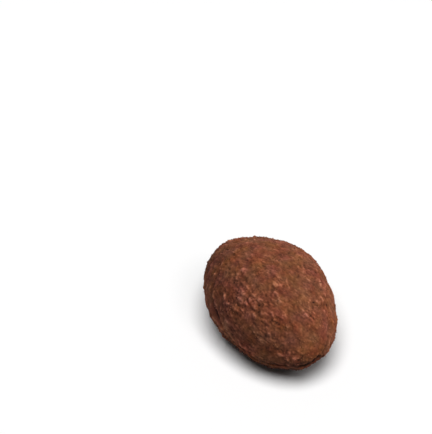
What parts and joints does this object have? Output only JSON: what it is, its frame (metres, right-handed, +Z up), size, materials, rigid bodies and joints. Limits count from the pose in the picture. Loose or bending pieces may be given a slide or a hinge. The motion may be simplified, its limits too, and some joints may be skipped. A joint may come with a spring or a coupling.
{
  "type": "cocoa dusted almond",
  "caption": "Whole almond in a thick chocolate coat, dusted all over with cocoa powder; an egg-shaped sweet lying on its broad side.",
  "frame": {"origin": "on the surface that the almond lies on, under the middle of its outline", "axes": "+X along the almond to its narrower end, +Y across it, +Z up through its thinnest way"},
  "size_m": [0.028, 0.0182, 0.0152],
  "materials": {
    "cocoa_powder": "matte"
  },
  "bodies": {
    "root": {"cocoa_dusted_almond": "cocoa_powder"}
  },
  "joints": []
}
